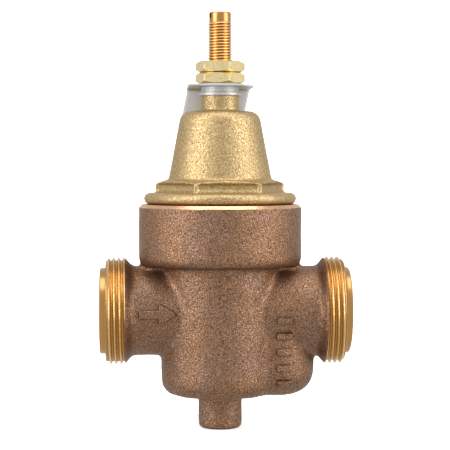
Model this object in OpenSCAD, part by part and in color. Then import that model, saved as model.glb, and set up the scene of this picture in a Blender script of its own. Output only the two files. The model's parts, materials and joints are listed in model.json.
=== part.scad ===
// Pressure reducing valve with male union ends, millimetres, +Z up.
// The origin is the centre of the inlet face. Water flows along +X.
// The port axis is the X axis, and the spring, the stem and the screw share one vertical axis.

/* [Ports] */
// Bore of both ports
port_bore_d = 26; // [20:0.5:32]
// Casting wall round the port bores
arm_wall = 6.8; // [4:0.2:10]
// Plain length of the inlet arm outside the trunk
inlet_arm_len = 12.8; // [8:0.2:30]
// Plain length of the outlet arm outside the lobe
outlet_arm_len = 1.1; // [0.5:0.1:12]
// Length of the cone between an arm and its thread
arm_cone_len = 3.2; // [2:0.1:6]
// Major diameter of the union threads, G 1-1/2
union_thread_d = 47.8; // [42:0.1:60]
// Length of each union thread
union_thread_len = 8.6; // [6:0.1:16]
// Wall of the machined spigot at the end of each port
spigot_wall = 6.1; // [3:0.1:9]
// Length of each spigot
spigot_len = 2.6; // [1:0.1:5]

/* [Body casting] */
// Casting wall of the trunk
trunk_wall = 4.8; // [3:0.1:8]
// Floor of the casting under the outlet chamber
floor_wall = 4; // [3:0.1:8]
// Wall round the diaphragm bore
head_wall = 6.15; // [4:0.05:10]
// Depth of the bore that takes the bell housing's skirt
skirt_len = 13.2; // [10:0.1:20]
// Radius of the lobe under the outlet arm
lobe_r = 18; // [15:0.1:19.5]
// Wall of the lobe on its outlet side
lobe_wall = 4.5; // [3:0.1:6]
// Wall between the inlet chamber and the outlet duct
duct_wall = 5; // [3:0.1:8]
// Width of the outlet duct along the flow
duct_len = 11; // [8:0.1:16]
// Diameter of the plain boss underneath
boss_d = 19.6; // [12:0.2:30]
// Length of the boss underneath
boss_len = 15.1; // [8:0.1:24]

/* [Seat and cage] */
// Bore of the seat
orifice_d = 15; // [12:0.1:18.5]
// Thickness of the lip that the disc closes on
seat_lip_wall = 1.2; // [0.8:0.1:1.6]
// Wall of the seat ring
seat_ring_wall = 3.95; // [3:0.05:6]
// Wall of the cage tube
cage_wall = 2.5; // [2:0.1:4]
// Travel of the valve disc
valve_stroke = 2.5; // [1.5:0.1:4]
// Thickness of the rubber seat disc
seat_disc_t = 2.95; // [2:0.05:5]
// Gap from the cage to the strainer screen
strainer_gap = 2.3; // [2:0.1:6]
// Gap from the strainer screen to the casting
inlet_gap = 4.7; // [2:0.1:6]

/* [Diaphragm] */
// Width of the ledge that the diaphragm is clamped on
diaphragm_land = 6.55; // [5:0.05:9]
// Thickness of the diaphragm
diaphragm_t = 2; // [1:0.1:3]
// Drop of the diaphragm's centre below its rim with the valve open
diaphragm_dish = 3; // [2:0.1:4]
// Thickness of the friction ring over the diaphragm's rim
friction_ring_t = 1; // [0.6:0.1:2]

/* [Range spring] */
// Mean diameter of the coil
spring_mean_d = 23; // [18:0.2:28]
// Wire diameter
spring_wire_d = 3.8; // [2.6:0.1:4.6]
// Number of coils
spring_coils = 7.5; // [5:0.5:9]

/* [Bell housing] */
// Height of the bell above its rim
bell_h = 36.2; // [32:0.1:46]
// Thickness of the rolled rim
rim_t = 5.1; // [4:0.1:7]
// Width across the flats of the hexagon for the wrench
hex_af = 50.6; // [46:0.1:62]
// Height of the hexagon with its chamfer
hex_h = 6; // [5:0.1:9]
// Bell wall at its base
bell_base_wall = 4.25; // [3:0.05:6]
// Bell wall at its top
bell_top_wall = 3.3; // [2.5:0.05:5]
// Thickness of the bell's roof
roof_t = 5.2; // [4:0.1:8]
// Height of the cast neck
neck_h = 6.8; // [4:0.1:12]

/* [Adjusting screw and nuts] */
// Major diameter of the adjusting screw, 7/16-20 UNF
screw_d = 11; // [9:0.1:13.4]
// Length of the adjusting screw
screw_len = 51.6; // [44:0.1:66]
// Width across the flats of the two lock nuts
nut_af = 19.3; // [16:0.1:24]
// Height of each lock nut
nut_h = 4.85; // [3.5:0.05:7]
// Width of the tag
tag_w = 28.5; // [22:0.5:36]
// Length of the tag behind the bell
tag_drop = 24; // [16:0.5:28]

/* [Clearances] */
// Radial clearance of sliding and screwed fits
slide_clear = 0.05; // [0.02:0.01:0.1]
// Radial clearance of pieces that are only dropped in
loose_clear = 0.1; // [0.05:0.01:0.3]
// Gap between parts that move against their stops
stop_clear = 0.3; // [0.1:0.05:0.6]

/* [Hidden] */
$fn = 96;

// Colours of the real materials
cast_bronze = "#8b6b52";
cast_brass = "#c9a768";
machined_brass = "#c9943f";
steel = "#9a9da0";
stainless = "#b4b7ba";
rubber = "#2b2b2d";
tag_grey = "#b5b3b0";

// Radii that nest from the seat outwards
port_r = port_bore_d / 2;
arm_r = port_r + arm_wall;
spigot_r = port_r + spigot_wall;
thread_r = union_thread_d / 2;
orifice_r = orifice_d / 2;
lip_r = orifice_r + seat_lip_wall;
seat_ring_r = orifice_r + seat_ring_wall;
seat_pocket_r = seat_ring_r + slide_clear;
cage_r = seat_pocket_r + cage_wall;
cage_bore_r = seat_pocket_r - 2;
screen_t = 0.5;
screen_r = cage_r + strainer_gap + screen_t;
inlet_chamber_r = screen_r + inlet_gap;
trunk_r = inlet_chamber_r + trunk_wall;
flange_bore_r = inlet_chamber_r + 2;
flange_r = flange_bore_r - loose_clear;
head_bore_r = flange_bore_r + diaphragm_land;
head_r = head_bore_r + head_wall;
skirt_r = head_bore_r - loose_clear;
skirt_bore_r = flange_bore_r + 0.5;
outlet_chamber_r = cage_r + 6;

// Places along the flow, from the vertical axis
end_len = arm_cone_len + union_thread_len + spigot_len;
inlet_reach = trunk_r + inlet_arm_len + end_len;
duct_start = inlet_chamber_r + duct_wall;
lobe_reach = duct_start + duct_len + lobe_wall;
outlet_reach = lobe_reach + outlet_arm_len + end_len;
lobe_x = lobe_reach - lobe_r;
axis_x = inlet_reach;

// Heights below the port axis
partition_t = 4;
partition_top = -(port_r + 3);
partition_bottom = partition_top - partition_t;
lip_z = partition_bottom + 1;
closed_gap = 0.05;
seat_disc_top = lip_z - valve_stroke - closed_gap;
seat_disc_bottom = seat_disc_top - seat_disc_t;
holder_floor_t = 2.5;
holder_bottom = seat_disc_bottom - holder_floor_t;
disc_nut_h = 4;
disc_nut_bottom = holder_bottom - disc_nut_h;
stem_bottom = disc_nut_bottom - 0.5;
outlet_floor = stem_bottom - 1.9;
body_bottom = outlet_floor - floor_wall;
boss_bottom = body_bottom - boss_len;

// Heights above the port axis
flange_seat = port_r + 8.5;
flange_t = 3;
flange_top = flange_seat + flange_t;
stop_pad_h = 1.8;
piston_top = flange_top + stop_pad_h + stop_clear;
washer_t = 1.6;
diaphragm_bottom = piston_top + washer_t;
plate_seat = diaphragm_bottom + diaphragm_t;
plate_t = 2.5;
spring_seat = plate_seat + plate_t;
diaphragm_ledge = diaphragm_bottom + diaphragm_dish;
friction_seat = diaphragm_ledge + diaphragm_t;
skirt_bottom = friction_seat + friction_ring_t;
head_top = skirt_bottom + skirt_len;
head_bottom = flange_seat - 1;
rim_top = head_top + rim_t;
hex_top = rim_top + hex_h;
bell_top = rim_top + bell_h;
roof = bell_top - roof_t;
button_top = roof - 1;
button_t = 4;
spring_top = button_top - button_t;
button_bottom = spring_top - 3;
neck_top = bell_top + neck_h;
collar_h = 4.1;
spigot_top = neck_top + collar_h - 0.2;
tag_t = 0.8;
tag_seat = neck_top + collar_h;
nut_washer_seat = tag_seat + tag_t;
nut_washer_t = 0.5;
lower_nut_seat = nut_washer_seat + nut_washer_t;
nut_gap = 0.2;
upper_nut_seat = lower_nut_seat + nut_h + nut_gap;

// Cage, strainer and O-ring sizes
seat_top = partition_bottom + 7;
strainer_ring_t = 2;
screen_sink = 1;
screen_bottom = partition_top + strainer_ring_t - screen_sink;
screen_top = flange_seat - strainer_ring_t + screen_sink;
cage_ring_section_r = 0.85;
cage_groove_h = 1.9;
upper_ring_z = flange_seat + flange_t / 2;
lower_ring_z = partition_bottom + 1.95;
upper_groove_r = flange_bore_r - 2 * cage_ring_section_r - 0.1;
lower_groove_r = cage_r + slide_clear - 2 * cage_ring_section_r - 0.1;

// Stem and diaphragm sizes
piston_r = orifice_r + 0.5;
guide_r = piston_r + slide_clear;
waist_r = 4.5;
shank_r = 4;
tail_r = 3;
disc_r = seat_ring_r - 1.45;
guide_bottom = port_r - 3;
piston_bottom = guide_bottom - 2;
piston_ring_z = (guide_bottom + flange_top) / 2 - 0.5;
piston_ring_section_r = 0.78;
piston_groove_r = guide_r - 2 * piston_ring_section_r - 0.1;
diaphragm_nut_h = 5;
shank_top = spring_seat + diaphragm_nut_h + 1.5;

// Spring, bell and screw sizes
spring_r = spring_mean_d / 2;
wire_r = spring_wire_d / 2;
spring_outer_r = spring_r + wire_r;
plate_r = spring_outer_r + 3.6;
button_r = spring_outer_r + 0.2;
bell_top_bore_r = spring_outer_r + 1.4;
bell_low_bore_r = bell_top_bore_r + 4.6;
bell_bore_z = rim_top + 1.5;
bell_taper_top = button_top - 1;
bell_step_z = skirt_bottom + 9.8;
bell_shoulder = 5;
cone_base_r = bell_bore_r_at(hex_top) + bell_base_wall;
cone_top_r = bell_top_bore_r + bell_top_wall;
cone_top = bell_top - bell_shoulder + 1.6;
screw_r = screw_d / 2;
screw_bore_r = screw_r + slide_clear;
foot_r = 3;
foot_socket = 1.5;
foot_bottom = button_top - foot_socket;
screw_top = foot_bottom + screw_len;
screw_tip_len = 4.4;
slot_w = 1.5;
slot_depth = 2.6;
slot_turn = 25;
neck_spigot_r = screw_bore_r + 1.85;
neck_r = neck_spigot_r + 1.1;
collar_bore_r = neck_spigot_r + slide_clear;
hex_turn = 5.4;
nut_turn = 48.1;

// Radius of the bell's inside at a height on its taper.
function bell_bore_r_at(height) =
    bell_low_bore_r + (bell_top_bore_r - bell_low_bore_r)
        * (height - bell_bore_z) / (bell_taper_top - bell_bore_z);

// Radius of the bell's outside at a height on its cone.
function bell_outer_r_at(height) =
    cone_top_r + (cone_base_r - cone_top_r) * (cone_top - height) / (cone_top - hex_top);

// ---- Shapes that several pieces share ----

// A ring or tube on the vertical axis.
module ring(outer_r, inner_r, bottom, top) {
    translate([0, 0, bottom])
        difference() {
            cylinder(r = outer_r, h = top - bottom);
            translate([0, 0, -1])
                cylinder(r = inner_r, h = top - bottom + 2);
        }
}

// An upright post with its lower edge rounded.
module round_foot_post(post_r, bottom, top, edge) {
    translate([0, 0, bottom])
        rotate_extrude()
            union() {
                square([post_r - edge, top - bottom]);
                translate([0, edge])
                    square([post_r, top - bottom - edge]);
                intersection() {
                    translate([post_r - edge, edge])
                        circle(r = edge);
                    square([post_r, top - bottom]);
                }
            }
}

// A length of rod along +X that starts at x.
module rod_x(rod_r, start, length) {
    translate([start, 0, 0])
        rotate([0, 90, 0])
            cylinder(r = rod_r, h = length);
}

// A rubber ring of round section on the vertical axis.
module o_ring(mean_r, section_r, middle) {
    color(rubber)
        translate([0, 0, middle])
            rotate_extrude()
                translate([mean_r, 0])
                    circle(r = section_r, $fn = 32);
}

// The cutter for an O-ring groove around a shaft.
module ring_groove(shaft_r, groove_r, middle, width) {
    ring(shaft_r + 1, groove_r, middle - width / 2, middle + width / 2);
}

// A hexagon nut with both faces chamfered at 30 degrees.
module hex_nut(across_flats, height, hole_r, bottom, turn) {
    corner_r = across_flats / 2 / cos(30);
    face_r = across_flats / 2 * 0.97;
    blank_r = corner_r + 0.5;
    chamfer = (blank_r - face_r) * tan(30);
    translate([0, 0, bottom])
        difference() {
            intersection() {
                rotate([0, 0, turn])
                    cylinder(r = corner_r, h = height, $fn = 6);
                rotate_extrude()
                    polygon([
                        [0, 0], [face_r, 0], [blank_r, chamfer],
                        [blank_r, height - chamfer], [face_r, height], [0, height]
                    ]);
            }
            translate([0, 0, -1])
                cylinder(r = hole_r, h = height + 2);
        }
}

// Moves a shape from the vertical axis to its place in the valve.
module on_axis() {
    translate([axis_x, 0, 0])
        children();
}

// ---- Body casting ----

// One port: arm, cone, union thread and spigot, along +X from the vertical axis.
module port_outside(reach) {
    rod_x(arm_r, 0, reach - end_len + 0.01);
    translate([reach - end_len, 0, 0])
        rotate([0, 90, 0])
            cylinder(r1 = arm_r, r2 = thread_r, h = arm_cone_len);
    rod_x(thread_r, reach - end_len + arm_cone_len, union_thread_len);
    rod_x(spigot_r, reach - spigot_len - 0.01, spigot_len + 0.01);
}

// The lobe that carries the duct up to the outlet arm, grown all round by a relief.
module lobe(relief) {
    lobe_edge = 11;
    lobe_top = 5;
    translate([lobe_x, 0, 0])
        round_foot_post(lobe_r + relief, body_bottom - relief, lobe_top, lobe_edge + relief);
}

// The head: the wide cylinder with a rounded lower edge and a machined upper edge.
module head() {
    head_edge = 3;
    bevel_w = 1.1;
    bevel_h = 1.8;
    difference() {
        round_foot_post(head_r, head_bottom, head_top, head_edge);
        difference() {
            ring(head_r + 1, head_r - bevel_w, head_top - bevel_h, head_top + 1);
            translate([0, 0, head_top - bevel_h])
                cylinder(r1 = head_r, r2 = head_r - bevel_w, h = bevel_h);
        }
    }
}

// The web that joins both arms to the underside of the head.
module arm_web() {
    web_half = 5;
    web_reach = head_r - 4;
    translate([-web_reach, -web_half, 0])
        cube([2 * web_reach, 2 * web_half, head_bottom + 1]);
}

// The flow arrow that stands out of the inlet arm, pointing along the flow.
module flow_arrow() {
    arrow_tail = -trunk_r - 9.8;
    arrow_tip = -trunk_r + 6.7;
    head_len = 7.8;
    head_half = 4.95;
    shaft_half = 1.85;
    relief = 0.7;
    neck_x = arrow_tip - head_len;
    intersection() {
        rod_x(arm_r + relief, arrow_tail - 1, arrow_tip - arrow_tail + 2);
        rotate([90, 0, 0])
            linear_extrude(height = arm_r + 5)
                polygon([
                    [arrow_tail, -shaft_half], [neck_x, -shaft_half], [neck_x, -head_half],
                    [arrow_tip, 0],
                    [neck_x, head_half], [neck_x, shaft_half], [arrow_tail, shaft_half]
                ]);
    }
}

// A column of five plain raised bars up the front of the lobe and the arm.
module tally_bars() {
    bar_w = 7;
    bar_h = 2.8;
    bar_step = 7;
    lowest = body_bottom + 5;
    relief = 0.6;
    intersection() {
        union() {
            lobe(relief);
            rod_x(arm_r + relief, lobe_x, lobe_r);
        }
        for (i = [0 : 4])
            translate([lobe_x, -(arm_r + 3), lowest + i * bar_step])
                cube([bar_w, arm_r + 3, bar_h]);
    }
}

// Everything that is hollow inside the casting.
module body_hollows() {
    rod_x(port_r, -inlet_reach - 1, inlet_reach);
    rod_x(port_r, duct_start + 1.5, outlet_reach);
    translate([0, 0, partition_top])
        cylinder(r = inlet_chamber_r, h = flange_seat - partition_top + 0.01);
    translate([0, 0, flange_seat])
        cylinder(r = flange_bore_r, h = diaphragm_ledge - flange_seat + 0.01);
    translate([0, 0, diaphragm_ledge])
        cylinder(r = head_bore_r, h = head_top - diaphragm_ledge + 1);
    translate([0, 0, partition_bottom - 1])
        cylinder(r = cage_r + slide_clear, h = partition_t + 2);
    translate([0, 0, outlet_floor])
        cylinder(r = outlet_chamber_r, h = partition_bottom - outlet_floor);
    outlet_duct();
}

// The duct from the outlet chamber up to the outlet bore.
module outlet_duct() {
    duct_edge = 6.5;
    window_half = 10;
    window_h = partition_bottom - outlet_floor - 2;
    intersection() {
        translate([lobe_x, 0, 0])
            round_foot_post(lobe_r - lobe_wall, outlet_floor, 0, duct_edge);
        translate([duct_start, -lobe_r, outlet_floor - 1])
            cube([lobe_reach, 2 * lobe_r, -outlet_floor + 2]);
    }
    translate([outlet_chamber_r - 5, -window_half, outlet_floor])
        cube([duct_start - outlet_chamber_r + 6, 2 * window_half, window_h]);
}

module valve_body() {
    trunk_edge = 6.5;
    boss_edge = 1.5;
    color(cast_bronze)
        on_axis()
            difference() {
                union() {
                    round_foot_post(trunk_r, body_bottom, head_bottom + 4, trunk_edge);
                    round_foot_post(boss_d / 2, boss_bottom, body_bottom + 1, boss_edge);
                    head();
                    arm_web();
                    lobe(0);
                    mirror([1, 0, 0])
                        port_outside(inlet_reach);
                    port_outside(outlet_reach);
                    flow_arrow();
                    tally_bars();
                }
                body_hollows();
            }
}

// ---- Cage, seat and strainer ----

// The cage holds the seat ring, guides the stem's piston and closes the inlet chamber.
module module_cage() {
    window_w = 12;
    window_h = 16;
    pad_r = 1.6;
    pad_x = (guide_r + plate_r) / 2 + 1;
    color(machined_brass)
        on_axis()
            difference() {
                union() {
                    translate([0, 0, flange_seat])
                        cylinder(r = flange_r, h = flange_t);
                    translate([0, 0, partition_bottom])
                        cylinder(r = cage_r, h = flange_seat - partition_bottom + 0.01);
                    for (a = [90 : 120 : 330])
                        rotate([0, 0, a])
                            translate([pad_x, 0, flange_top - 0.01])
                                cylinder(r = pad_r, h = stop_pad_h + 0.01);
                }
                translate([0, 0, partition_bottom - 1])
                    cylinder(r = guide_r, h = flange_top - partition_bottom + 2);
                translate([0, 0, seat_top])
                    cylinder(r = cage_bore_r, h = guide_bottom - seat_top);
                translate([0, 0, partition_bottom - 1])
                    cylinder(r = seat_pocket_r, h = seat_top - partition_bottom + 1);
                for (a = [0 : 90 : 90])
                    rotate([0, 0, a])
                        translate([-window_w / 2, -cage_r - 1, -window_h / 2])
                            cube([window_w, 2 * cage_r + 2, window_h]);
                ring_groove(flange_r, upper_groove_r, upper_ring_z, cage_groove_h);
                ring_groove(cage_r, lower_groove_r, lower_ring_z, cage_groove_h);
            }
}

module upper_cage_o_ring() {
    on_axis()
        o_ring(flange_bore_r - cage_ring_section_r - 0.03, cage_ring_section_r, upper_ring_z);
}

module lower_cage_o_ring() {
    on_axis()
        o_ring(cage_r + slide_clear - cage_ring_section_r - 0.03, cage_ring_section_r, lower_ring_z);
}

// The seat ring sits in the cage's lower end, with its lip pointing down at the disc.
module seat_ring() {
    ring_bottom = partition_bottom + 2;
    color(stainless)
        on_axis() {
            difference() {
                union() {
                    translate([0, 0, ring_bottom])
                        cylinder(r = seat_ring_r, h = seat_top - ring_bottom);
                    translate([0, 0, lip_z])
                        cylinder(r = lip_r, h = ring_bottom - lip_z + 0.01);
                }
                translate([0, 0, lip_z - 1])
                    cylinder(r = orifice_r, h = seat_top - lip_z + 2);
            }
        }
}

// A perforated tube that catches grit before the cage's windows.
module strainer_screen() {
    hole_r = 1.3;
    rows = 6;
    columns = 12;
    row_step = (screen_top - screen_bottom - 4) / rows;
    color(stainless)
        on_axis()
            difference() {
                ring(screen_r, screen_r - screen_t, screen_bottom, screen_top);
                for (row = [0 : rows - 1])
                    for (column = [0 : columns - 1])
                        rotate([0, 0, (column + row % 2 / 2) * 360 / columns])
                            rod_x_at(hole_r, screen_bottom + 2 + (row + 0.5) * row_step);
            }
}

// One hole's cutter through one side of the screen at a given height.
module rod_x_at(rod_r, height) {
    translate([screen_r - screen_t - 1, 0, height])
        rotate([0, 90, 0])
            cylinder(r = rod_r, h = screen_t + 2);
}

// A ring that holds one end of the screen in a groove. The groove faces up.
module strainer_ring() {
    groove_clear = 0.2;
    color(stainless)
        difference() {
            ring(inlet_chamber_r - 0.5, cage_r + loose_clear, 0, strainer_ring_t);
            ring(screen_r + groove_clear, screen_r - screen_t - groove_clear,
                 strainer_ring_t - screen_sink, strainer_ring_t + 1);
        }
}

module lower_strainer_ring() {
    on_axis()
        translate([0, 0, partition_top])
            strainer_ring();
}

module upper_strainer_ring() {
    on_axis()
        translate([0, 0, flange_seat])
            mirror([0, 0, 1])
                strainer_ring();
}

// ---- Stem and disc ----

// The stem carries the disc below the seat and the diaphragm above the guide.
module stem() {
    sensing_r = 1.4;
    cross_hole_r = 0.8;
    cross_hole_z = piston_top - 1.2;
    relief_r = piston_r - 1.2;
    relief_h = 2.4;
    groove_h = 1.7;
    color(machined_brass)
        on_axis()
            difference() {
                union() {
                    translate([0, 0, piston_bottom])
                        cylinder(r = piston_r, h = piston_top - piston_bottom);
                    translate([0, 0, piston_top - 0.01])
                        cylinder(r = shank_r, h = shank_top - piston_top + 0.01);
                    translate([0, 0, seat_disc_top])
                        cylinder(r = waist_r, h = piston_bottom - seat_disc_top + 0.01);
                    translate([0, 0, stem_bottom])
                        cylinder(r = tail_r, h = seat_disc_top - stem_bottom + 0.01);
                }
                ring(piston_r + 1, relief_r, piston_top - relief_h, piston_top + 0.01);
                ring_groove(piston_r, piston_groove_r, piston_ring_z, groove_h);
                translate([0, 0, stem_bottom - 1])
                    cylinder(r = sensing_r, h = cross_hole_z - stem_bottom + 1);
                translate([-piston_r - 1, 0, cross_hole_z])
                    rotate([0, 90, 0])
                        cylinder(r = cross_hole_r, h = 2 * piston_r + 2);
            }
}

module piston_o_ring() {
    on_axis()
        o_ring(guide_r - piston_ring_section_r - 0.06, piston_ring_section_r, piston_ring_z);
}

module seat_disc() {
    color(rubber)
        on_axis()
            ring(disc_r, tail_r + slide_clear, seat_disc_bottom, seat_disc_top);
}

// A shallow cup under the seat disc.
module disc_holder() {
    rim_h = 2;
    color(machined_brass)
        on_axis() {
            difference() {
                ring(seat_ring_r - 0.25, tail_r + slide_clear, holder_bottom, seat_disc_bottom + rim_h);
                translate([0, 0, seat_disc_bottom])
                    cylinder(r = disc_r + loose_clear, h = rim_h + 1);
            }
        }
}

module disc_nut() {
    color(stainless)
        on_axis()
            hex_nut(8, disc_nut_h, tail_r + slide_clear, disc_nut_bottom, 0);
}

// ---- Diaphragm ----

module diaphragm_washer() {
    color(stainless)
        on_axis()
            ring(plate_r - 0.5, shank_r + slide_clear, piston_top, diaphragm_bottom);
}

// A flat rim, a sloping convolution and a flat centre, all of one thickness.
module diaphragm() {
    rim_outer = skirt_r - 0.45;
    rim_inner = flange_bore_r - 0.3;
    centre_r = plate_r + 0.7;
    hole_r = shank_r + slide_clear;
    color(rubber)
        on_axis()
            rotate_extrude()
                polygon([
                    [hole_r, diaphragm_bottom], [centre_r, diaphragm_bottom],
                    [rim_inner, diaphragm_ledge], [rim_outer, diaphragm_ledge],
                    [rim_outer, friction_seat], [rim_inner, friction_seat],
                    [centre_r, plate_seat], [hole_r, plate_seat]
                ]);
}

// The plate spreads the spring's push over the diaphragm. Its raised edge centres the spring.
module diaphragm_plate() {
    edge_h = 1;
    color(steel)
        on_axis() {
            ring(plate_r, shank_r + slide_clear, plate_seat, spring_seat);
            ring(spring_outer_r + 2, spring_outer_r + 0.6, spring_seat - 0.01, spring_seat + edge_h);
        }
}

module diaphragm_nut() {
    color(steel)
        on_axis()
            hex_nut(12, diaphragm_nut_h, shank_r + slide_clear, spring_seat, 15);
}

module friction_ring() {
    color(steel)
        on_axis()
            ring(skirt_r - 0.45, skirt_bore_r, friction_seat, skirt_bottom);
}

// ---- Range spring ----

function spring_wire_ring(centre_angle, height, sides) = [
    for (i = [0 : sides - 1])
        let (a = 360 * i / sides, reach = spring_r + wire_r * cos(a))
            [reach * cos(centre_angle), reach * sin(centre_angle), height + wire_r * sin(a)]
];

// One closed tube along the helix. Its first and last turns lie closer together.
module range_spring() {
    sides = 8;
    rings_per_coil = 16;
    steps = round(spring_coils * rings_per_coil);
    end_gap = 0.05;
    low = spring_seat + wire_r + end_gap;
    high = spring_top - wire_r - end_gap;
    closed_turn = spring_wire_d + 0.3;
    rings = [
        for (i = [0 : steps])
            let (
                turn = i * spring_coils / steps,
                from_end = spring_coils - turn,
                open_pitch = (high - low - 2 * closed_turn) / (spring_coils - 2),
                height = turn < 1 ? low + turn * closed_turn
                    : from_end < 1 ? high - from_end * closed_turn
                    : low + closed_turn + (turn - 1) * open_pitch
            )
            spring_wire_ring(360 * turn, height, sides)
    ];
    points = [for (one = rings) for (p = one) p];
    last = steps * sides;
    walls = [
        for (i = [0 : steps - 1])
            for (j = [0 : sides - 1])
                let (k = (j + 1) % sides)
                    [i * sides + j, (i + 1) * sides + j, (i + 1) * sides + k, i * sides + k]
    ];
    start_cap = [for (j = [0 : sides - 1]) j];
    end_cap = [for (j = [sides - 1 : -1 : 0]) last + j];
    color(steel)
        on_axis()
            polyhedron(points = points, faces = concat([start_cap], walls, [end_cap]), convexity = 10);
}

// The button between the spring and the screw, with a socket for the screw's foot.
module spring_button() {
    color(steel)
        on_axis()
            difference() {
                union() {
                    translate([0, 0, spring_top])
                        cylinder(r = button_r, h = button_t);
                    translate([0, 0, button_bottom])
                        cylinder(r = spring_r - wire_r - 0.4, h = spring_top - button_bottom + 0.01);
                }
                translate([0, 0, foot_bottom])
                    cylinder(r = foot_r + slide_clear, h = foot_socket + 1);
            }
}

// ---- Bell housing ----

// The outside of the bell from the hexagon's top up to the rounded shoulder.
module bell_cone() {
    rotate_extrude()
        union() {
            polygon([
                [0, rim_top - 1], [cone_base_r, rim_top - 1], [cone_base_r, hex_top],
                [cone_top_r, cone_top], [0, cone_top]
            ]);
            translate([0, cone_top - 1])
                square([cone_top_r - bell_shoulder, bell_top - cone_top + 1]);
            intersection() {
                translate([cone_top_r - bell_shoulder, bell_top - bell_shoulder])
                    circle(r = bell_shoulder);
                square([cone_top_r, bell_top]);
            }
        }
}

// The rolled rim that lands on top of the body.
module bell_rim() {
    rim_edge = rim_t / 2;
    rim_outer = head_r - 2.3;
    rotate_extrude()
        union() {
            translate([0, head_top])
                square([rim_outer - rim_edge, rim_t]);
            translate([rim_outer - rim_edge, head_top + rim_edge])
                circle(r = rim_edge);
        }
}

// The hexagon with a turned chamfer and shallow recesses in its flats.
module bell_hexagon() {
    flat = hex_af / 2;
    corner_r = flat / cos(30);
    recess = 0.5;
    recess_w = flat * 0.94;
    recess_h = 3;
    chamfer_h = 1.8;
    difference() {
        intersection() {
            rotate([0, 0, hex_turn])
                translate([0, 0, rim_top - 1])
                    cylinder(r = corner_r, h = hex_h + 1, $fn = 6);
            translate([0, 0, rim_top - 2])
                cylinder(r = corner_r - 0.35, h = hex_h + 2 - chamfer_h);
        }
        for (a = [30 : 60 : 330])
            rotate([0, 0, a + hex_turn])
                translate([flat - recess, -recess_w / 2, rim_top + 0.6])
                    cube([5, recess_w, recess_h]);
    }
    translate([0, 0, hex_top - chamfer_h])
        intersection() {
            rotate([0, 0, hex_turn])
                cylinder(r = corner_r, h = chamfer_h, $fn = 6);
            cylinder(r1 = corner_r - 0.35, r2 = flat - 2.2, h = chamfer_h);
        }
}

// The hollow that holds the range spring.
module bell_hollow() {
    rotate_extrude()
        polygon([
            [0, skirt_bottom - 1], [skirt_bore_r, skirt_bottom - 1], [skirt_bore_r, bell_step_z],
            [bell_low_bore_r, bell_bore_z], [bell_top_bore_r, bell_taper_top],
            [bell_top_bore_r, roof], [0, roof]
        ]);
}

module bell_housing() {
    color(cast_brass)
        on_axis()
            difference() {
                union() {
                    translate([0, 0, skirt_bottom])
                        cylinder(r = skirt_r, h = head_top - skirt_bottom + 0.01);
                    bell_rim();
                    bell_hexagon();
                    bell_cone();
                    translate([0, 0, bell_top - 1])
                        cylinder(r = neck_r, h = neck_h + 1);
                    translate([0, 0, neck_top - 1])
                        cylinder(r = neck_spigot_r, h = spigot_top - neck_top + 1);
                }
                bell_hollow();
                translate([0, 0, roof - 1])
                    cylinder(r = screw_bore_r, h = spigot_top - roof + 2);
            }
}

// A flanged sleeve over the top of the neck, which the tag is clamped on.
module neck_collar() {
    flange_h = 1.5;
    color(tag_grey)
        on_axis() {
            ring(neck_spigot_r + 1.9, collar_bore_r, neck_top, neck_top + flange_h);
            ring(neck_spigot_r + 1, collar_bore_r, neck_top + flange_h - 0.01, tag_seat);
        }
}

// A bent plate: a flat under the nuts, a round bend and a leaf that leans to the inlet side.
module name_tag() {
    front_y = -12.5;
    bend_r = 2.4;
    lean = 5;
    leaf_bottom = nut_washer_seat - bend_r - tag_drop;
    back_y = bell_outer_r_at(leaf_bottom) + 0.5 + tag_t;
    color(tag_grey)
        on_axis() {
            difference() {
                translate([-tag_w / 2, front_y, tag_seat])
                    cube([tag_w, back_y - bend_r - front_y, tag_t]);
                translate([0, 0, tag_seat - 1])
                    cylinder(r = screw_r + 0.2, h = tag_t + 2);
            }
            translate([-tag_w / 2, back_y - bend_r, nut_washer_seat - bend_r])
                rotate([90, 0, 90])
                    linear_extrude(height = tag_w)
                        intersection() {
                            difference() {
                                circle(r = bend_r);
                                circle(r = bend_r - tag_t);
                            }
                            square([bend_r, bend_r]);
                        }
            translate([0, back_y, nut_washer_seat - bend_r])
                rotate([90, 0, 0])
                    linear_extrude(height = tag_t)
                        polygon([
                            [-tag_w / 2, 0], [tag_w / 2, 0],
                            [tag_w / 2 - lean, -tag_drop], [-tag_w / 2 - lean, -tag_drop]
                        ]);
        }
}

// ---- Adjusting screw and lock nuts ----

module adjusting_screw() {
    tip_r = screw_r - 0.66;
    tip_edge = 0.8;
    thread_bottom = button_top + 1.5;
    color(machined_brass)
        on_axis()
            difference() {
                union() {
                    translate([0, 0, foot_bottom])
                        cylinder(r = foot_r, h = thread_bottom - foot_bottom + 0.01);
                    translate([0, 0, thread_bottom])
                        cylinder(r = screw_r, h = screw_top - screw_tip_len - thread_bottom);
                    translate([0, 0, screw_top - screw_tip_len - 0.01])
                        cylinder(r = tip_r, h = screw_tip_len - tip_edge + 0.01);
                    translate([0, 0, screw_top - tip_edge])
                        cylinder(r1 = tip_r, r2 = tip_r - tip_edge, h = tip_edge);
                }
                rotate([0, 0, slot_turn])
                    translate([-screw_r, -slot_w / 2, screw_top - slot_depth])
                        cube([2 * screw_r, slot_w, slot_depth + 1]);
            }
}

module nut_seal_washer() {
    color(rubber)
        on_axis()
            ring(screw_r + 3.4, screw_bore_r, nut_washer_seat, lower_nut_seat);
}

module lower_lock_nut() {
    color(cast_brass)
        on_axis()
            hex_nut(nut_af, nut_h, screw_bore_r, lower_nut_seat, nut_turn);
}

module upper_lock_nut() {
    color(cast_brass)
        on_axis()
            hex_nut(nut_af, nut_h, screw_bore_r, upper_nut_seat, nut_turn);
}

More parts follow.
